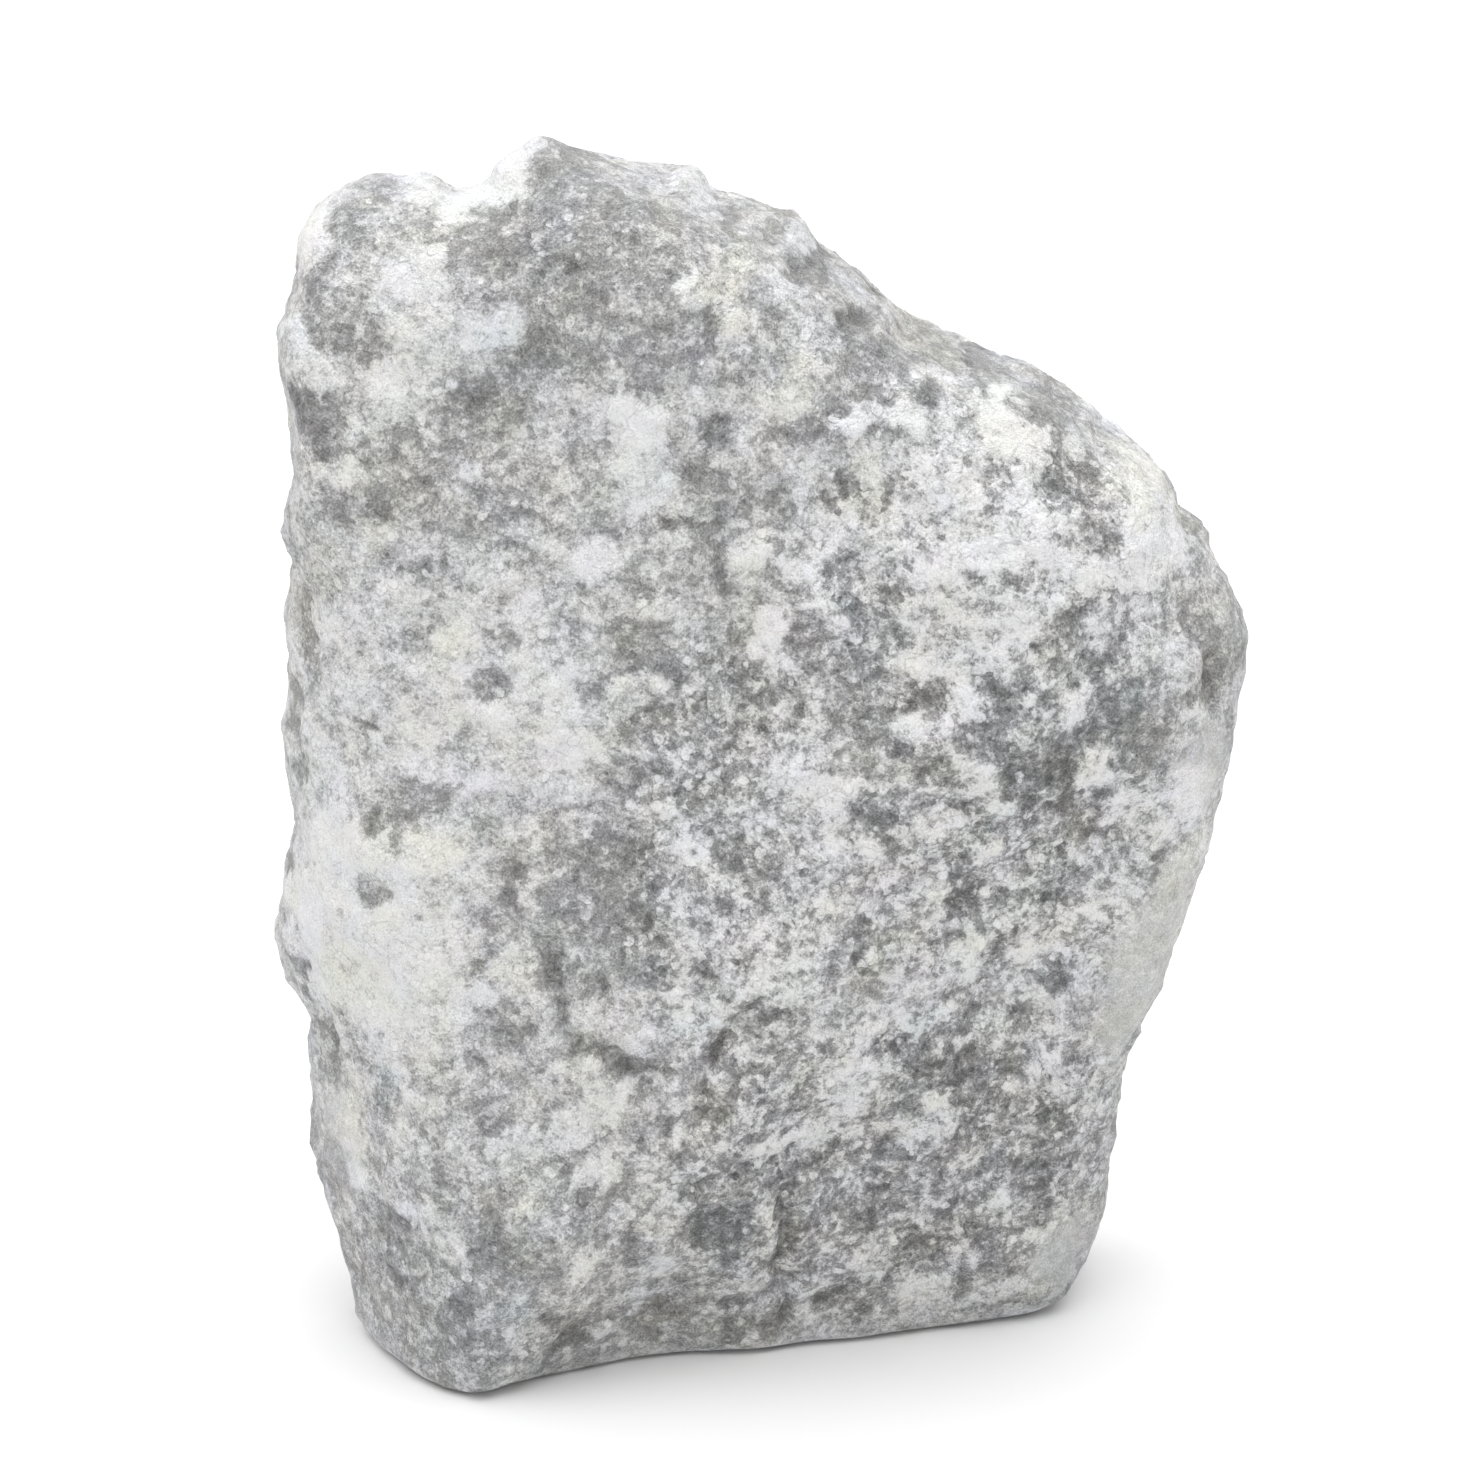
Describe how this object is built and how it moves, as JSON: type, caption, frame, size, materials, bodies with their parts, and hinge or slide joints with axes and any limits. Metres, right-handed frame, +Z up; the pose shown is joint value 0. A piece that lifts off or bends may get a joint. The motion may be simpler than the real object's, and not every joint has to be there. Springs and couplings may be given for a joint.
{
  "type": "soapstone block",
  "caption": "Raw soapstone block, a thick slab with a sloping shoulder and mottled grey and white broken faces, standing on its flat foot.",
  "frame": {"origin": "on the floor, under the middle of the block's bounding box", "axes": "+Z up along the longest extent, -Y out of the broad front face, +X towards the sloping shoulder"},
  "size_m": [0.1406, 0.0664, 0.1791],
  "materials": {
    "soapstone": "matt broken stone, mottled white and blue-grey with a fine sugary grain"
  },
  "bodies": {
    "root": {"stone": "soapstone"}
  },
  "joints": []
}
